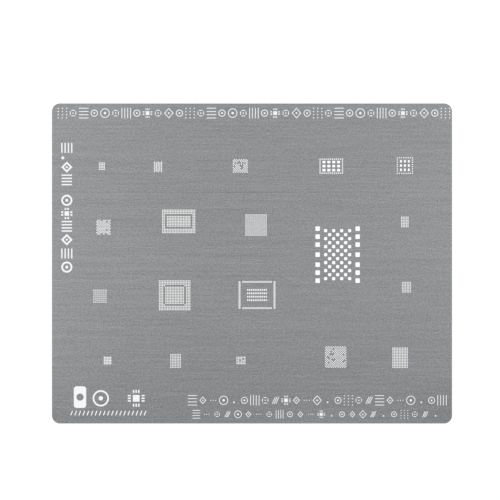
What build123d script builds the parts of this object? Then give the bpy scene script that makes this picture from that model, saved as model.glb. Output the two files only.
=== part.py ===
# Solder paste stencil: a loose stainless steel sheet for hand rework of small chip packages.
# Solder paste is wiped over it with a small blade and falls through the apertures onto the
# lands of a chip or a board, so every field of apertures repeats one package's land pattern.
#
# Frame, in millimetres: X runs along the long edge, Y along the short edge and Z up through the
# sheet. The origin is the centre of the underside, which is the face laid on the board.
#
# The sheet is laser cut from one piece of rolled strip, so it is one solid: an outline with
# nineteen fields of apertures, set out roughly in five columns and four rows.

from build123d import *
from math import ceil, floor, sqrt
import os

os.makedirs("parts", exist_ok=True)

# ---- Sheet ----
sheet_length = 100.0
sheet_width = 80.0
sheet_thickness = 0.12
corner_radius = 2.0

# ---- Layout of the fields ----
side_margin = 12.0      # from a short edge to the middle of the nearest column of fields
end_margin = 15.75      # from a long edge to the middle of the nearest row of fields
field_columns = 5
field_rows = 4

# ---- Ball fields on a square lattice ----
fine_pitch = 0.40
fine_aperture = 0.28
coarse_pitch = 0.50
coarse_aperture = 0.32

# ---- Staggered ball fields: balls on every second cell of a closer lattice ----
diagonal_pitch = 0.283
diagonal_aperture = 0.28
open_column_pitch = 0.29
open_row_pitch = 0.283
open_aperture = 0.30
close_column_pitch = 0.25
close_row_pitch = 0.343
close_aperture = 0.30
slim_column_pitch = 0.434
slim_row_pitch = 0.195
slim_aperture = 0.28

# Balls stand so close that blocks of them are drawn together: one opening has the total area of
# the apertures in a block of so many columns and rows. With blocks of 1 every ball is cut.
small_block = 2
large_block = 3

# ---- Land grid: four columns of lands, three between them, and a column down each side ----
land_pitch = 2.0
land_columns = 4
land_rows = 7
land_side = 0.80
side_land_offset = 5.0
side_land_side = 1.13
side_land_end_pitch = 2.0
side_land_middle_pitch = 2.5

# ---- Leadless packages: a frame of small lands round a block of larger ones ----
wide_frame_pitch_x = 0.511
wide_frame_pitch_y = 0.50
wide_frame_land = 0.32
wide_block_pitch_x = 1.218
wide_block_pitch_y = 1.013
wide_block_length = 0.79
wide_block_width = 0.63

tall_frame_pitch_x = 0.541
tall_frame_pitch_y = 0.557
tall_frame_land = 0.30
tall_block_pitch_x = 0.98
tall_block_pitch_y = 1.068
tall_block_length = 0.49
tall_block_width = 0.66

# ---- Slotted package: a comb of slots on each side and four rows of short slots inside ----
slot_pitch = 0.50
slot_width = 0.30
side_slot_length = 0.54
side_slot_offset = 4.37
end_slot_length = 0.49
end_slot_offset = 3.28
inner_slot_pitch = 0.465
inner_slot_length = 0.47
inner_row_pitch = 0.85


def centre(column, row):
    """Middle of a field, placed among the columns from the left and the rows from the top.

    Both are counted from 0 and may be fractions: a column of 1.5 is halfway from the second
    column of fields to the third.
    """
    column_pitch = (sheet_length - 2 * side_margin) / (field_columns - 1)
    row_pitch = (sheet_width - 2 * end_margin) / (field_rows - 1)
    x = (column - (field_columns - 1) / 2) * column_pitch
    y = ((field_rows - 1) / 2 - row) * row_pitch
    return (x, y)


def ring(columns, rows, inset_x, inset_y):
    """Cells, as (column, row), of the closed ring this many columns and rows inside a lattice."""
    left, right = inset_x, columns - 1 - inset_x
    top, bottom = inset_y, rows - 1 - inset_y
    across = [(column, row) for row in (top, bottom) for column in range(left, right + 1)]
    down = [(column, row) for column in (left, right) for row in range(top + 1, bottom)]
    return across + down


def without_corners(columns, rows, inset_x, inset_y):
    """The same ring with balls left on its four corners."""
    corner_columns = (inset_x, columns - 1 - inset_x)
    corner_rows = (inset_y, rows - 1 - inset_y)
    kept = []
    for column, row in ring(columns, rows, inset_x, inset_y):
        if column not in corner_columns or row not in corner_rows:
            kept.append((column, row))
    return kept


def ball_field(columns, rows, pitch_x, pitch_y, aperture, block, blanks=(), skip=None):
    """Openings for the balls of one package: one opening for each block of lattice cells.

    Cells are counted from the top left, and blank cells carry no ball. A staggered field skips
    every second cell: those whose column and row add up to an even number where skip is 0, and
    to an odd number where it is 1.
    """
    blocks_across = ceil(columns / block)
    blocks_down = ceil(rows / block)
    blocks = {}
    for row in range(rows):
        for column in range(columns):
            if (column, row) in blanks or (column + row) % 2 == skip:
                continue
            block_column = floor((column + 0.5) * blocks_across / columns)
            block_row = floor((row + 0.5) * blocks_down / rows)
            blocks.setdefault((block_column, block_row), []).append((column, row))

    openings = {}
    for balls in blocks.values():
        held_columns = [column for column, row in balls]
        held_rows = [row for column, row in balls]
        x = (sum(held_columns) / len(balls) - (columns - 1) / 2) * pitch_x
        y = ((rows - 1) / 2 - sum(held_rows) / len(balls)) * pitch_y
        side = aperture * sqrt(len(balls))
        stretch = sqrt(len(set(held_columns)) * pitch_x / (len(set(held_rows)) * pitch_y))
        openings.setdefault((side * stretch, side / stretch), []).append((x, y))

    for (length, width), places in openings.items():
        with Locations(*places):
            Rectangle(length, width)


def fine_field(columns, rows, block=small_block, blanks=()):
    ball_field(columns, rows, fine_pitch, fine_pitch, fine_aperture, block, blanks)


def coarse_field(columns, rows, block=small_block):
    ball_field(columns, rows, coarse_pitch, coarse_pitch, coarse_aperture, block)


def land_frame(columns, rows, pitch_x, pitch_y, land):
    """Square lands in a closed frame, with this many columns and rows along its sides."""
    with GridLocations(pitch_x, (rows - 1) * pitch_y, columns, 2):
        Rectangle(land, land)
    with GridLocations((columns - 1) * pitch_x, pitch_y, 2, rows - 2):
        Rectangle(land, land)


# ---- Top row of fields ----
with BuildSketch() as top_row:
    with Locations(centre(0.025, -0.005)):
        fine_field(4, 5)
    with Locations(centre(0.764, 0.006)):
        ball_field(5, 13, slim_column_pitch, slim_row_pitch, slim_aperture, large_block, skip=1)
    with Locations(centre(1.846, -0.009)):
        blanks = [(5, 2), (2, 3), (4, 3), (6, 3), (8, 3), (10, 3)]
        blanks += [(6, 5), (8, 5), (1, 6), (7, 6), (8, 7), (7, 8)]
        pitch_x = open_column_pitch
        pitch_y = open_row_pitch
        ball_field(13, 12, pitch_x, pitch_y, open_aperture, large_block, blanks, skip=0)
    with Locations(centre(3.043, -0.006)):
        land_frame(12, 8, wide_frame_pitch_x, wide_frame_pitch_y, wide_frame_land)
        with GridLocations(wide_block_pitch_x, wide_block_pitch_y, 4, 3):
            Rectangle(wide_block_length, wide_block_width)
    with Locations(centre(4.012, -0.015)):
        land_frame(8, 8, tall_frame_pitch_x, tall_frame_pitch_y, tall_frame_land)
        with GridLocations(tall_block_pitch_x, tall_block_pitch_y, 3, 3):
            Rectangle(tall_block_length, tall_block_width)

# ---- Upper middle row of fields ----
with BuildSketch() as upper_row:
    with Locations(centre(0.045, 0.938)):
        blanks = [(5, 0), (10, 1), (10, 7), (5, 10), (9, 10)]
        pitch_x = close_column_pitch
        pitch_y = close_row_pitch
        ball_field(14, 11, pitch_x, pitch_y, close_aperture, large_block, blanks, skip=0)
    with Locations(centre(1.035, 0.848)):
        fine_field(21, 15, large_block, ring(21, 15, 2, 3))
    with Locations(centre(2.053, 0.905)):
        coarse_field(11, 11)
    with Locations(centre(4.011, 0.857)):
        fine_field(5, 7)

# ---- Land grid, between the two middle rows ----
with BuildSketch() as land_grid:
    with Locations(centre(3.127, 1.363)):
        with GridLocations(land_pitch, land_pitch, land_columns, land_rows):
            Rectangle(land_side, land_side)
        with GridLocations(land_pitch, land_pitch, land_columns - 1, land_rows - 1):
            Rectangle(land_side, land_side)
        middle_span = 2 * side_land_middle_pitch
        with GridLocations(2 * side_land_offset, side_land_middle_pitch, 2, 3):
            Rectangle(side_land_side, side_land_side)
        for outward in (1, 2):
            span = middle_span + 2 * outward * side_land_end_pitch
            with GridLocations(2 * side_land_offset, span, 2, 2):
                Rectangle(side_land_side, side_land_side)

# ---- Lower middle row of fields ----
with BuildSketch() as lower_row:
    with Locations(centre(-0.001, 2.004)):
        coarse_field(7, 7)
    with Locations(centre(0.982, 1.992)):
        fine_field(20, 19, large_block, without_corners(20, 19, 3, 3))
    with Locations(centre(2.066, 1.987)):
        with GridLocations(2 * side_slot_offset, slot_pitch, 2, 14):
            Rectangle(side_slot_length, slot_width)
        with GridLocations(slot_pitch, 2 * end_slot_offset, 15, 2):
            Rectangle(slot_width, end_slot_length)
        with GridLocations(inner_slot_pitch, inner_row_pitch, 11, 4):
            Rectangle(slot_width, inner_slot_length)
    with Locations(centre(4.032, 1.866)):
        fine_field(6, 7)

# ---- Bottom row of fields ----
with BuildSketch() as bottom_row:
    with Locations(centre(0.099, 3)):
        fine_field(5, 5)
    with Locations(centre(0.994, 3.006)):
        fine_field(7, 9)
    with Locations(centre(1.854, 2.999)):
        fine_field(6, 5, blanks=[(4, 1), (2, 2)])
    with Locations(centre(3.101, 2.946)):
        blanks = [(7, 2), (5, 4), (5, 6), (7, 6), (4, 7), (6, 7), (16, 7), (2, 9)]
        blanks += [(3, 10), (6, 11), (8, 11), (7, 12), (17, 12), (16, 13), (3, 14)]
        pitch = diagonal_pitch
        ball_field(19, 19, pitch, pitch, diagonal_aperture, large_block, blanks, skip=0)
    with Locations(centre(3.949, 2.956)):
        fine_field(10, 13, large_block)

# ---- The sheet ----
with BuildPart() as stencil_sheet:
    with BuildSketch() as sheet_face:
        RectangleRounded(sheet_length, sheet_width, corner_radius)
        fields = [top_row, upper_row, land_grid, lower_row, bottom_row]
        add([field.sketch for field in fields], mode=Mode.SUBTRACT)
    extrude(amount=sheet_thickness)

stencil_sheet.part.label = "stencil_sheet"
export_step(stencil_sheet.part, "parts/stencil_sheet.step")
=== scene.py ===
# Solder paste stencil, dressed for rendering: a loose sheet of brushed stainless steel with every
# aperture cut one by one, laser-cut walls, broken edges and white frosted marks etched into its
# face, on a pale floor in soft studio light.
#
# Everything that is laid out on the sheet is worked out in millimetres from the sheet's middle,
# X along the long edge and Y along the short edge, and turned into metres at the very end.

import math

import bpy
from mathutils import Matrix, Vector
from mathutils.geometry import delaunay_2d_cdt


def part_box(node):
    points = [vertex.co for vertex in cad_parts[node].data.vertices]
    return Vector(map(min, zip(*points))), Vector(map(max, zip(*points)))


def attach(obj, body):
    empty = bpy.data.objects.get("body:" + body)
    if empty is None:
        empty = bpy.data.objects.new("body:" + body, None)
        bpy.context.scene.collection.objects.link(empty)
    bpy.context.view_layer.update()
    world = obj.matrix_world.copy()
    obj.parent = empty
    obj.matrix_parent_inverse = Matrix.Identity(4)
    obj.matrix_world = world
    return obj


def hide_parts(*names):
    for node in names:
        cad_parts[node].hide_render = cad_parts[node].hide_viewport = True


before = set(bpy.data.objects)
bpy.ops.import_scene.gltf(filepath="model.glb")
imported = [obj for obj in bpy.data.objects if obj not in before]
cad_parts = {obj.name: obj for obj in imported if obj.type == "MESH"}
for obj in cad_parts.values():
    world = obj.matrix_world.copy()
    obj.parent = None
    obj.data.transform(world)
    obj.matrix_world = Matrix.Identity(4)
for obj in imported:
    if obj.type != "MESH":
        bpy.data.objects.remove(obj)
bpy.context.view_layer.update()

MM = 0.001
MICRON = 0.000001

sheet_low, sheet_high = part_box("stencil_sheet")
sheet_length = (sheet_high[0] - sheet_low[0]) / MM
sheet_width = (sheet_high[1] - sheet_low[1]) / MM
sheet_thickness = (sheet_high[2] - sheet_low[2]) / MM
sheet_middle_x = (sheet_high[0] + sheet_low[0]) / 2 / MM
sheet_middle_y = (sheet_high[1] + sheet_low[1]) / 2 / MM
sheet_underside = sheet_low[2] / MM


# ---------------------------------------------------------------------------------------------
# Plan shapes: each is a counter-clockwise loop of (x, y)
# ---------------------------------------------------------------------------------------------

CORNERS = ((1, 1), (-1, 1), (-1, -1), (1, -1))


def rounded_loop(x, y, length, width, radius, steps):
    """A rectangle with rounded corners, each of them in so many steps."""
    loop = []
    for quarter, (side_x, side_y) in enumerate(CORNERS):
        corner_x = x + side_x * (length / 2 - radius)
        corner_y = y + side_y * (width / 2 - radius)
        for step in range(steps + 1):
            angle = (quarter + step / steps) * math.pi / 2
            loop.append((corner_x + radius * math.cos(angle), corner_y + radius * math.sin(angle)))
    return loop


def bar(x, y, length, width, turn=0.0):
    """A straight bar, turned anticlockwise by so many degrees."""
    along_x, along_y = math.cos(math.radians(turn)), math.sin(math.radians(turn))
    loop = []
    for side_x, side_y in CORNERS:
        run, rise = side_x * length / 2, side_y * width / 2
        loop.append((x + run * along_x - rise * along_y, y + run * along_y + rise * along_x))
    return loop


def disc(x, y, diameter, corners=20):
    loop = []
    for corner in range(corners):
        angle = math.tau * corner / corners
        loop.append((x + diameter / 2 * math.cos(angle), y + diameter / 2 * math.sin(angle)))
    return loop


def lozenge(x, y, length, width):
    return [(x + length / 2, y), (x, y + width / 2), (x - length / 2, y), (x, y - width / 2)]


# ---------------------------------------------------------------------------------------------
# Apertures: (x, y, length, width, corner radius)
# ---------------------------------------------------------------------------------------------

apertures = []

side_margin = 12.0              # from a short edge to the middle of the nearest column of fields
end_margin = 15.75              # from a long edge to the middle of the nearest row of fields
field_columns = 5
field_rows = 4


def centre(column, row):
    """Middle of a field, placed among the columns from the left and the rows from the top.

    Both are counted from 0 and may be fractions: a column of 1.5 is halfway from the second
    column of fields to the third.
    """
    column_pitch = (sheet_length - 2 * side_margin) / (field_columns - 1)
    row_pitch = (sheet_width - 2 * end_margin) / (field_rows - 1)
    x = (column - (field_columns - 1) / 2) * column_pitch
    y = ((field_rows - 1) / 2 - row) * row_pitch
    return x, y


def lattice(middle, columns, rows, pitch_x, pitch_y):
    """The cells of a lattice, counted from the top left, each as (column, row, x, y)."""
    for row in range(rows):
        for column in range(columns):
            x = middle[0] + (column - (columns - 1) / 2) * pitch_x
            y = middle[1] + ((rows - 1) / 2 - row) * pitch_y
            yield column, row, x, y


def ring(columns, rows, inset_x, inset_y):
    """Cells, as (column, row), of the closed ring this many columns and rows inside a lattice."""
    left, right = inset_x, columns - 1 - inset_x
    top, bottom = inset_y, rows - 1 - inset_y
    across = [(column, row) for row in (top, bottom) for column in range(left, right + 1)]
    down = [(column, row) for column in (left, right) for row in range(top + 1, bottom)]
    return across + down


def without_corners(columns, rows, inset_x, inset_y):
    """The same ring with balls left on its four corners."""
    corner_columns = (inset_x, columns - 1 - inset_x)
    corner_rows = (inset_y, rows - 1 - inset_y)
    return [(column, row) for column, row in ring(columns, rows, inset_x, inset_y)
            if column not in corner_columns or row not in corner_rows]


ball_corner_share = 0.27        # corner radius of a ball's aperture as a share of its side


def ball_field(middle, columns, rows, pitch_x, pitch_y, side, blanks=(), skip=None):
    """One small square aperture for each ball.

    Blank cells carry no ball. A staggered field skips every second cell: those whose column and
    row add up to an even number where skip is 0, and to an odd number where it is 1.
    """
    for column, row, x, y in lattice(middle, columns, rows, pitch_x, pitch_y):
        if (column, row) not in blanks and (column + row) % 2 != skip:
            apertures.append((x, y, side, side, side * ball_corner_share))


def land_block(middle, columns, rows, pitch_x, pitch_y, length, width, radius):
    """A block of lands, or slots, on a rectangular lattice."""
    for _, _, x, y in lattice(middle, columns, rows, pitch_x, pitch_y):
        apertures.append((x, y, length, width, radius))


frame_land_radius = 0.07


def land_frame(middle, columns, rows, pitch_x, pitch_y, land):
    """Square lands in a closed frame, with this many columns and rows along its sides."""
    size = (land, land, frame_land_radius)
    land_block(middle, columns, 2, pitch_x, (rows - 1) * pitch_y, *size)
    land_block(middle, 2, rows - 2, (columns - 1) * pitch_x, pitch_y, *size)


fine_pitch = 0.40
coarse_pitch = 0.50


def fine_field(middle, columns, rows, side, blanks=()):
    ball_field(middle, columns, rows, fine_pitch, fine_pitch, side, blanks)


def coarse_field(middle, columns, rows, side):
    ball_field(middle, columns, rows, coarse_pitch, coarse_pitch, side)


# Top row: a small ball field, two staggered ones and two leadless packages
fine_field(centre(0.025, -0.005), 4, 5, side=0.293)
ball_field(centre(0.764, 0.006), 5, 13, pitch_x=0.434, pitch_y=0.195, side=0.302, skip=1)
ball_field(centre(1.846, -0.009), 13, 12, pitch_x=0.29, pitch_y=0.283, side=0.292, skip=0,
           blanks=[(5, 2), (2, 3), (4, 3), (6, 3), (8, 3), (10, 3),
                   (6, 5), (8, 5), (1, 6), (7, 6), (8, 7), (7, 8)])

wide_leadless = centre(3.043, -0.006)
land_frame(wide_leadless, 12, 8, pitch_x=0.511, pitch_y=0.50, land=0.32)
land_block(wide_leadless, 4, 3, pitch_x=1.218, pitch_y=1.013,
           length=0.79, width=0.63, radius=0.12)

tall_leadless = centre(4.012, -0.015)
land_frame(tall_leadless, 8, 8, pitch_x=0.541, pitch_y=0.557, land=0.30)
land_block(tall_leadless, 3, 3, pitch_x=0.98, pitch_y=1.068,
           length=0.49, width=0.66, radius=0.11)

# Upper middle row: a staggered ball field, one with a blank ring, a coarse and a small one
ball_field(centre(0.045, 0.938), 14, 11, pitch_x=0.25, pitch_y=0.343, side=0.303, skip=0,
           blanks=[(5, 0), (10, 1), (10, 7), (5, 10), (9, 10)])
fine_field(centre(1.035, 0.848), 21, 15, side=0.288, blanks=ring(21, 15, 2, 3))
coarse_field(centre(2.053, 0.905), 11, 11, side=0.322)
fine_field(centre(4.011, 0.857), 5, 7, side=0.281)

# Land grid between the two middle rows, with a column of larger lands down each side
land_grid = centre(3.127, 1.363)
land_pitch = 2.0
for columns, rows in ((4, 7), (3, 6)):
    land_block(land_grid, columns, rows, land_pitch, land_pitch,
               length=0.80, width=0.80, radius=0.20)
side_column_span = 10.0
for rows, pitch in ((3, 2.5), (2, 9.0), (2, 13.0)):
    land_block(land_grid, 2, rows, side_column_span, pitch, length=1.13, width=1.13, radius=0.13)

# Lower middle row: a coarse ball field, one with a blank ring, a slotted package and a small one
coarse_field(centre(-0.001, 2.004), 7, 7, side=0.294)
fine_field(centre(0.982, 1.992), 20, 19, side=0.279, blanks=without_corners(20, 19, 3, 3))

slotted = centre(2.066, 1.987)
slot_pitch = 0.50
slot_width = 0.30
slot_radius = 0.10
land_block(slotted, 2, 14, pitch_x=8.74, pitch_y=slot_pitch,
           length=0.54, width=slot_width, radius=slot_radius)
land_block(slotted, 15, 2, pitch_x=slot_pitch, pitch_y=6.56,
           length=slot_width, width=0.49, radius=slot_radius)
land_block(slotted, 11, 4, pitch_x=0.465, pitch_y=0.85,
           length=slot_width, width=0.47, radius=slot_radius)

fine_field(centre(4.032, 1.866), 6, 7, side=0.272)

# Bottom row: three small ball fields, a large staggered one and a tall one
fine_field(centre(0.099, 3), 5, 5, side=0.314)
fine_field(centre(0.994, 3.006), 7, 9, side=0.268)
fine_field(centre(1.854, 2.999), 6, 5, side=0.288, blanks=[(4, 1), (2, 2)])
ball_field(centre(3.101, 2.946), 19, 19, pitch_x=0.283, pitch_y=0.283, side=0.273, skip=0,
           blanks=[(7, 2), (5, 4), (5, 6), (7, 6), (4, 7), (6, 7), (16, 7), (2, 9),
                   (3, 10), (6, 11), (8, 11), (7, 12), (17, 12), (16, 13), (3, 14)])
fine_field(centre(3.949, 2.956), 10, 13, side=0.282)


# ---------------------------------------------------------------------------------------------
# Etched marks: plain gauge shapes, as a list of (loop, etched). Later loops lie over earlier.
# ---------------------------------------------------------------------------------------------

marks = []


def etch(*loops):
    marks.extend((loop, True) for loop in loops)


def spare(*loops):
    """Steel left bare inside a shape that was etched before."""
    marks.extend((loop, False) for loop in loops)


def spread(count, span):
    """So many places, evenly spread over a span about 0."""
    return [(place / (count - 1) - 0.5) * span for place in range(count)]


# Every gauge shape takes its middle, its length and height, and the thickness of its lines,
# also where it has no use for one of them.

def comb(x, y, length, height, line, bars=4):
    """Level bars, one above the other."""
    etch(*[bar(x, y + rise, length, line) for rise in spread(bars, height - line)])


def rails(x, y, length, height, line, bars=4):
    """Upright bars, side by side."""
    etch(*[bar(x + run, y, line, height) for run in spread(bars, length - line)])


def slants(x, y, length, height, line, bars=3):
    """Slanted bars, side by side."""
    etch(*[bar(x + run, y, line, height, turn=-24) for run in spread(bars, length * 0.5)])


def pads(x, y, length, height, line, columns=3, rows=4):
    """Small square pads on a lattice."""
    side = line * 1.4
    etch(*[bar(x + run, y + rise, side, side)
           for run in spread(columns, length - side) for rise in spread(rows, height - side)])


def target(x, y, length, height, line):
    """A ring round a dot."""
    dot = length * 0.27
    etch(disc(x, y, length))
    spare(disc(x, y, length - 2 * line))
    etch(disc(x, y, dot, corners=12))


def facet(x, y, length, height, line):
    """An open lozenge round a small solid one."""
    inset = 2.7 * line
    solid = length * 0.24
    etch(lozenge(x, y, length, height))
    spare(lozenge(x, y, length - inset, height - inset))
    etch(lozenge(x, y, solid, solid))


def package(x, y, length, height, line, leads=3):
    """A solid square with leads on all four sides."""
    body = length * 0.40
    lead = length * 0.18
    reach = (length - lead) / 2
    etch(bar(x, y, body, body))
    for run in spread(leads, body - line):
        etch(bar(x - reach, y + run, lead, line), bar(x + reach, y + run, lead, line),
             bar(x + run, y - reach, line, lead), bar(x + run, y + reach, line, lead))


def crop(x, y, length, height, line):
    """Short bars at the middle of each side of an open square, and a dot inside."""
    reach = length / 2 - line
    side = length * 0.5
    dot = length * 0.2
    etch(bar(x, y + reach, side, line), bar(x, y - reach, side, line),
         bar(x + reach, y, line, side), bar(x - reach, y, line, side),
         disc(x, y, dot, corners=10))


def spot(x, y, length, height, line):
    """A small solid lozenge, low in its place."""
    side = line * 3
    etch(lozenge(x, y - height * 0.25, side, side))


def trio(x, y, length, height, line):
    """Three small square pads in a row."""
    side = line * 1.3
    etch(*[bar(x + run, y, side, side) for run in spread(3, length * 0.75)])


dense_shapes = (pads, comb, target, rails, package, facet)
light_shapes = (trio, crop, slants, spot, target, facet)
dense_scale = 0.88
light_scale = 0.66
length_to_height = 0.9


def gauge_line(x, y, count, pitch, height, line, dense_every, start):
    """A level line of gauge shapes, the first with its middle at x.

    Every so many places a dense one comes, and lighter ones stand between. The start is where
    in the round of shapes the line begins.
    """
    for place in range(count):
        turn = start + place
        if turn % dense_every == 0:
            shape, scale = dense_shapes[turn // dense_every % len(dense_shapes)], dense_scale
        else:
            lighter = (turn + turn // dense_every) % len(light_shapes)
            shape, scale = light_shapes[lighter], light_scale
        shape(x + place * pitch, y, length_to_height * height * scale, height * scale, line)


# One line along the top edge and two along the bottom edge
gauge_line(-47.4, 37.6, count=37, pitch=2.66, height=3.0, line=0.20, dense_every=2, start=0)
gauge_line(-14.9, -34.2, count=25, pitch=2.60, height=2.9, line=0.175, dense_every=3, start=3)
gauge_line(-13.9, -37.7, count=24, pitch=2.60, height=2.4, line=0.155, dense_every=4, start=4)

# Two groups of bold shapes up the left edge
bold_x = -46.3
bold_side = 2.8
bold_line = 0.45
bold_bar = 0.33
target(bold_x, -0.9, bold_side, bold_side, bold_line)
rails(bold_x, 2.5, bold_side, 2.5, bold_bar)
facet(bold_x, 5.95, 2.9, 2.9, bold_line)
comb(bold_x, 9.3, 2.6, 2.7, bold_bar)
package(bold_x, 12.5, bold_side, bold_side, bold_line, leads=2)
target(bold_x, 15.8, bold_side, bold_side, bold_line)
comb(bold_x, 20.9, 2.6, 2.7, bold_bar)
facet(bold_x, 24.1, bold_side, bold_side, bold_line)
etch(disc(bold_x - 1.0, 26.4, 0.75, corners=14))
rails(bold_x, 28.9, bold_side, 2.5, bold_bar)

# A plate with a bare disc, two large shapes and a row of short slanted bars at the lower left
plate_x, plate_y = -43.0, -33.4
etch(rounded_loop(plate_x, plate_y, length=3.1, width=5.4, radius=0.7, steps=5))
spare(disc(plate_x, plate_y, diameter=1.8))
target(-37.8, -33.7, 4.1, 4.1, line=0.42)
package(-28.95, -33.7, 4.2, 4.2, line=0.37)
for place in range(19):
    etch(bar(-45.1 + 1.02 * place, -37.4, length=0.24, width=1.25, turn=-20))


# ---------------------------------------------------------------------------------------------
# The sheet's mesh
# ---------------------------------------------------------------------------------------------

sheet_corner = 2.0
sheet_corner_steps = 16
edge_break = 0.02               # the outline's sharp edges are taken off by this much
rim_break = 0.008               # and the apertures' upper edges by this much
wall_taper = 0.008              # the laser leaves each aperture this much wider, all round, below
etch_depth = 0.018

small_aperture = 0.5            # an aperture with both sides shorter has fewer steps at a corner
small_corner_steps = 2
large_corner_steps = 5

FACE, WALL, ETCHED = range(3)

top = sheet_thickness
etch_floor = top - etch_depth


def settled(*place):
    """A place, rounded so that faces which meet share their points."""
    return tuple(round(part, 5) for part in place)


class SheetMesh:
    """Points, shared wherever two faces meet, and faces with their material."""

    def __init__(self):
        self.places = {}
        self.points = []
        self.faces = []
        self.finishes = []

    def point(self, x, y, z):
        key = settled(x, y, z)
        if key not in self.places:
            self.places[key] = len(self.points)
            self.points.append(((x + sheet_middle_x) * MM, (y + sheet_middle_y) * MM,
                                (z + sheet_underside) * MM))
        return self.places[key]

    def face(self, corners, finish):
        self.faces.append([self.point(*corner) for corner in corners])
        self.finishes.append(finish)

    def skirt(self, rings, inward):
        """Faces between one ring of points and the next one down. Each is (loop, height)."""
        for (upper, upper_z), (lower, lower_z) in zip(rings, rings[1:]):
            for here in range(len(upper)):
                there = (here + 1) % len(upper)
                corners = [(*upper[here], upper_z), (*lower[here], lower_z),
                           (*lower[there], lower_z), (*upper[there], upper_z)]
                self.face(corners[::-1] if inward else corners, WALL)


def cover(outline, holes, drawn=()):
    """Triangles of the outline less its holes, each with the number of the drawn loop on top.

    Where no drawn loop lies, that number is below 0.
    """
    loops = [outline, *holes, *drawn]
    given = [point for loop in loops for point in loop]
    numbered, used = [], 0
    for loop in loops:
        numbered.append(list(range(used, used + len(loop))))
        used += len(loop)
    inside_only, nearness = 1, 1e-6
    flat, _, triangles, origins, _, sources = delaunay_2d_cdt(
        [Vector(point) for point in given], [], numbered, inside_only, nearness, True)
    exact = [given[origin[0]] if origin else tuple(point) for point, origin in zip(flat, origins)]
    first_drawn = 1 + len(holes)
    for triangle, loops_here in zip(triangles, sources):
        if any(0 < loop < first_drawn for loop in loops_here):
            continue
        yield [exact[corner] for corner in triangle], max(loops_here) - first_drawn


def aperture_loops(grown):
    """The loops of all apertures, grown by so much all round."""
    loops = []
    for x, y, length, width, radius in apertures:
        small = length < small_aperture and width < small_aperture
        steps = small_corner_steps if small else large_corner_steps
        loops.append(rounded_loop(x, y, length + 2 * grown, width + 2 * grown,
                                  radius + grown, steps))
    return loops


def sheet_loop(inset):
    """The sheet's outline, so much further in."""
    return rounded_loop(0, 0, sheet_length - 2 * inset, sheet_width - 2 * inset,
                        sheet_corner - inset, sheet_corner_steps)


def build_sheet():
    sheet = SheetMesh()

    # The upper face, with the etched marks sunk into it
    drawn = [loop for loop, etched in marks]
    etched_beside = {}
    for corners, mark in cover(sheet_loop(edge_break), aperture_loops(rim_break), drawn):
        etched = mark >= 0 and marks[mark][1]
        height = etch_floor if etched else top
        sheet.face([(x, y, height) for x, y in corners], ETCHED if etched else FACE)
        for here in range(3):
            start, end = settled(*corners[here]), settled(*corners[(here + 1) % 3])
            etched_beside[start, end] = etched

    # The small walls round the marks, wherever an etched triangle meets one that isn't
    for (start, end), etched in etched_beside.items():
        if etched and etched_beside[end, start] is False:
            sheet.face([(*start, etch_floor), (*start, top), (*end, top), (*end, etch_floor)],
                       ETCHED)

    # The underside
    for corners, _ in cover(sheet_loop(edge_break), aperture_loops(wall_taper)):
        sheet.face([(x, y, 0.0) for x, y in reversed(corners)], FACE)

    # The apertures' walls, and the sheet's own edge
    rims, necks, feet = (aperture_loops(grown) for grown in (rim_break, 0.0, wall_taper))
    for rim, neck, foot in zip(rims, necks, feet):
        sheet.skirt([(rim, top), (neck, top - rim_break), (foot, 0.0)], inward=True)
    sheet.skirt([(sheet_loop(edge_break), top), (sheet_loop(0.0), top - edge_break),
                 (sheet_loop(0.0), edge_break), (sheet_loop(edge_break), 0.0)], inward=False)
    return sheet


# ---------------------------------------------------------------------------------------------
# Finishes
# ---------------------------------------------------------------------------------------------

class Signal:
    """One output of a shader node. Sums and products of signals add Math nodes to their tree."""

    def __init__(self, tree, socket=None):
        self.tree = tree
        self.socket = socket

    def node(self, kind, settings=None, sockets=None, output=0):
        """A new node: its settings first, then the values or links of its sockets."""
        new = self.tree.nodes.new(kind)
        for name, value in (settings or {}).items():
            setattr(new, name, value)
        for name, value in (sockets or {}).items():
            if isinstance(value, Signal):
                self.tree.links.new(value.socket, new.inputs[name])
            else:
                new.inputs[name].default_value = value
        return Signal(self.tree, new.outputs[output] if len(new.outputs) else None)

    def math(self, operation, *values):
        return self.node("ShaderNodeMath", {"operation": operation}, dict(enumerate(values)))

    def __add__(self, other):
        return self.math("ADD", self, other)

    def __mul__(self, other):
        return self.math("MULTIPLY", self, other)

    def __sub__(self, other):
        return self.math("SUBTRACT", self, other)

    def __rsub__(self, other):
        return self.math("SUBTRACT", other, self)

    def __gt__(self, other):
        return self.math("GREATER_THAN", self, other)

    def __abs__(self):
        return self.math("ABSOLUTE", self)

    def above_zero(self):
        return self.math("MAXIMUM", self, 0.0)

    __radd__ = __add__
    __rmul__ = __mul__


def grey(red, green, blue):
    """A colour written as 0 to 255 for the screen, as the numbers that a shader takes."""
    linear = []
    for part in (red, green, blue):
        share = part / 255
        linear.append(share / 12.92 if share < 0.04045 else ((share + 0.055) / 1.055) ** 2.4)
    return (*linear, 1.0)


def new_finish(name):
    """An empty material, its tree to build in, and where on the sheet each point lies."""
    material = bpy.data.materials.new(name)
    material.use_nodes = True
    material.node_tree.nodes.clear()
    tree = Signal(material.node_tree)
    return material, tree, tree.node("ShaderNodeTexCoord", output="Object")


def noise(tree, place, per_metre, detail=2.0, roughness=0.5, seed=0.0):
    """Noise of 0 to 1 with so many cells in a metre along X, Y and Z."""
    stretched = tree.node("ShaderNodeVectorMath", {"operation": "MULTIPLY"},
                          {0: place, 1: per_metre})
    moved = tree.node("ShaderNodeVectorMath", {"operation": "ADD"},
                      {0: stretched, 1: (seed, seed, seed)})
    return tree.node("ShaderNodeTexNoise", {},
                     {"Vector": moved, "Scale": 1.0, "Detail": detail, "Roughness": roughness})


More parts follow.
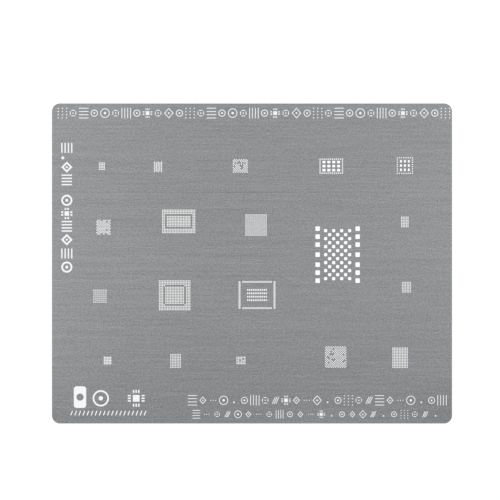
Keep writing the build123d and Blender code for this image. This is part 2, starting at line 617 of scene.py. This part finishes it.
def blend(tree, share, first, second):
    """From the first colour to the second."""
    first_colour, second_colour, mixed = 6, 7, 2        # sockets of a Mix node set to colours
    return tree.node("ShaderNodeMix", {"data_type": "RGBA"},
                     {0: share, first_colour: first, second_colour: second}, output=mixed)


def relief(tree, height, strength, depth):
    """A bump whose full height stands for so many metres."""
    return tree.node("ShaderNodeBump", {},
                     {"Strength": strength, "Distance": depth, "Height": height})


def finish_surface(tree, **sockets):
    shader = tree.node("ShaderNodeBsdfPrincipled", {}, {name.replace("_", " "): value
                                                       for name, value in sockets.items()})
    tree.node("ShaderNodeOutputMaterial", {}, {"Surface": shader})


def along_edge(tree, place, axis):
    """How far along X, for 0, or Y, for 1, a place lies."""
    return tree.node("ShaderNodeSeparateXYZ", {}, {0: place}, output=axis)


def smooth_step(tree, value, start, end):
    """0 before the start and 1 after the end, with a smooth rise between them."""
    return tree.node("ShaderNodeMapRange", {"interpolation_type": "SMOOTHSTEP"},
                     {0: value, 1: start, 2: end, 3: 0.0, 4: 1.0})


def long_scratch(tree, place, x, y, length, width):
    """1 along the middle of a thin level scratch, fading to 0 at its sides and ends."""
    run = along_edge(tree, place, 0) - (x + sheet_middle_x) * MM
    rise = along_edge(tree, place, 1) - (y + sheet_middle_y) * MM
    along = 1.0 - abs(run) * (2 / (length * MM))
    across = 1.0 - abs(rise) * (2 / (width * MM))
    return along.above_zero() * across.above_zero()


def brushed_steel():
    """Rolled strip, brushed along its length: hairlines of several lengths over a fine grain."""
    material, tree, place = new_finish("brushed_steel")

    # Painted shade: darker towards the lower edge, and a little more so at the two ends of that
    # edge
    downward = tree.node("ShaderNodeVectorMath", {"operation": "DOT_PRODUCT"},
                         {0: place, 1: (0.06, -0.998, 0.0)}, output="Value")
    sideways = abs(along_edge(tree, place, 0)) * (1 / (sheet_length / 2 * MM))
    painted_shade_low = smooth_step(tree, downward, -0.01, 0.05)
    painted_shade_low_ends = smooth_step(tree, downward, 0.027, 0.038) * sideways * sideways

    # From broad and soft to short and fine
    drift = noise(tree, place, (18, 26, 1), detail=1.0, seed=3.1)
    streaks = noise(tree, place, (34, 5200, 1), detail=1.0, roughness=0.5, seed=11.7)
    hairlines = noise(tree, place, (420, 9000, 1), detail=2.0, roughness=0.55, seed=5.3)
    brushing = noise(tree, place, (240, 30000, 1), detail=3.0, roughness=0.65, seed=17.3)
    grain = noise(tree, place, (2600, 3400, 1), detail=2.0, roughness=0.6, seed=23.9)

    scratches = (long_scratch(tree, place, -4.0, 17.8, length=84.0, width=0.17)
                 + long_scratch(tree, place, 20.0, 24.1, length=40.0, width=0.09)
                 + long_scratch(tree, place, -27.0, -18.1, length=40.0, width=0.09))

    # The tone is taken down by the painted shade at the lower edge and its ends, and varied by
    # drift, streaks, hairlines, brushing, grain and scratches
    even_tone = 0.419
    tone = (even_tone - painted_shade_low * 0.084 - painted_shade_low_ends * 0.06 + (drift - 0.5) * 0.06
            + (streaks - 0.5) * 0.13 + (hairlines - 0.5) * 0.11 + (brushing - 0.5) * 0.42
            + (grain - 0.5) * (0.24 + brushing * 0.94) - scratches * 0.33)
    colour = blend(tree, tone, grey(86, 88, 90), grey(198, 200, 202))
    rough = 0.40 + (streaks - 0.5) * 0.12 + (brushing - 0.5) * 0.10
    height = hairlines + streaks * 0.6 + grain * 0.5 + brushing * 0.7 - scratches
    finish_surface(tree, Base_Color=colour, Metallic=1.0, Roughness=rough,
                   Normal=relief(tree, height, strength=1.0, depth=1.2 * MICRON))
    return material


def laser_cut_steel():
    """Walls left by the laser: a little darker, with fine upright striations."""
    material, tree, place = new_finish("laser_cut_steel")
    striations = noise(tree, place, (24000, 24000, 900), seed=7.7)
    colour = blend(tree, striations, grey(112, 112, 112), grey(150, 149, 147))
    finish_surface(tree, Base_Color=colour, Metallic=1.0, Roughness=0.34,
                   Normal=relief(tree, striations, strength=0.6, depth=2.0 * MICRON))
    return material


def frosted_etch():
    """The floor of an etched mark: white and matt, with the crystal grain of the etch."""
    material, tree, place = new_finish("frosted_etch")
    crystals = noise(tree, place, (9000, 9000, 9000), detail=3.0, roughness=0.65, seed=2.9)
    contrast = 1.8
    colour = blend(tree, (crystals - 0.5) * contrast + 0.5,
                   grey(222, 223, 225), grey(254, 254, 255))
    finish_surface(tree, Base_Color=colour, Roughness=0.75 + crystals * 0.2,
                   Normal=relief(tree, crystals, strength=0.5, depth=3.0 * MICRON))
    return material


# ---------------------------------------------------------------------------------------------
# The piece
# ---------------------------------------------------------------------------------------------

sheet = build_sheet()
steel_mesh = bpy.data.meshes.new("stencil")
steel_mesh.from_pydata(sheet.points, [], sheet.faces)
for finish in (brushed_steel(), laser_cut_steel(), frosted_etch()):
    steel_mesh.materials.append(finish)
steel_mesh.polygons.foreach_set("material_index", sheet.finishes)
steel_mesh.update()

stencil = bpy.data.objects.new("stencil", steel_mesh)
bpy.context.scene.collection.objects.link(stencil)
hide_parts("stencil_sheet")
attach(stencil, "root")


# ---------------------------------------------------------------------------------------------
# Floor, light and camera
# ---------------------------------------------------------------------------------------------

scene = bpy.context.scene
scene.view_settings.view_transform = "Standard"

WHITE = (1.0, 1.0, 1.0, 1.0)

floor_half = 1.5
floor_drop = 0.00001            # keeps the floor clear of the sheet's underside
floor_grey = (0.3, 0.3, 0.3, 1.0)
floor_glow = 0.73               # for the camera and in reflections, so that it looks white

floor_mesh = bpy.data.meshes.new("floor")
low, high = -floor_half, floor_half
floor_mesh.from_pydata([(low, low, -floor_drop), (high, low, -floor_drop),
                        (high, high, -floor_drop), (low, high, -floor_drop)], [], [(0, 1, 2, 3)])
floor = bpy.data.objects.new("floor", floor_mesh)
scene.collection.objects.link(floor)


def seen_directly(tree):
    """1 for what the camera sees, straight or in metal or glass, and 0 for other light paths."""
    path = "ShaderNodeLightPath"
    seen = (tree.node(path, output="Is Camera Ray") + tree.node(path, output="Is Glossy Ray")
            + tree.node(path, output="Is Transmission Ray"))
    return seen > 0.5


floor_paint, floor_tree, _ = new_finish("floor_paint")
lit = floor_tree.node("ShaderNodeBsdfDiffuse", {}, {"Color": floor_grey})
glow = floor_tree.node("ShaderNodeEmission", {},
                       {"Color": WHITE, "Strength": seen_directly(floor_tree) * floor_glow})
both = floor_tree.node("ShaderNodeAddShader", {}, {0: lit, 1: glow})
floor_tree.node("ShaderNodeOutputMaterial", {}, {"Surface": both})
floor_mesh.materials.append(floor_paint)

room_level = 0.45               # how strongly the room lights the sheet
reflected_level = 0.69          # and how bright it looks in the steel

studio = bpy.data.worlds.new("studio")
scene.world = studio
studio.use_nodes = True
studio.node_tree.nodes.clear()
world_tree = Signal(studio.node_tree)
is_camera = world_tree.node("ShaderNodeLightPath", output="Is Camera Ray")
is_glossy = world_tree.node("ShaderNodeLightPath", output="Is Glossy Ray")
level = room_level + is_glossy * (reflected_level - room_level) + is_camera * (1.0 - room_level)
room = world_tree.node("ShaderNodeBackground", {}, {"Color": WHITE, "Strength": level})
world_tree.node("ShaderNodeOutputWorld", {}, {"Surface": room})


def softbox(name, place, size, power):
    """A square lamp that faces the middle of the sheet."""
    lamp = bpy.data.lights.new(name, "AREA")
    lamp.shape = "SQUARE"
    lamp.size = size
    lamp.energy = power
    holder = bpy.data.objects.new(name, lamp)
    holder.location = place
    holder.rotation_euler = Vector(place).to_track_quat("Z", "Y").to_euler()
    scene.collection.objects.link(holder)


softbox("key_softbox", place=(-0.38, 0.01, 0.40), size=0.35, power=1.57)
softbox("fill_softbox", place=(0.40, 0.02, 0.44), size=0.35, power=1.43)

view_width = 0.125              # metres of the sheet's plane that the view takes in
view_x, view_y = -0.5, 3.375    # the middle of the view, from the sheet's middle
lens = 200.0
sensor = 36.0

camera_data = bpy.data.cameras.new("camera")
camera_data.lens = lens
camera_data.sensor_width = sensor
camera = bpy.data.objects.new("camera", camera_data)
camera.location = ((sheet_middle_x + view_x) * MM, (sheet_middle_y + view_y) * MM,
                   sheet_high[2] + view_width * lens / sensor)
scene.collection.objects.link(camera)
scene.camera = camera
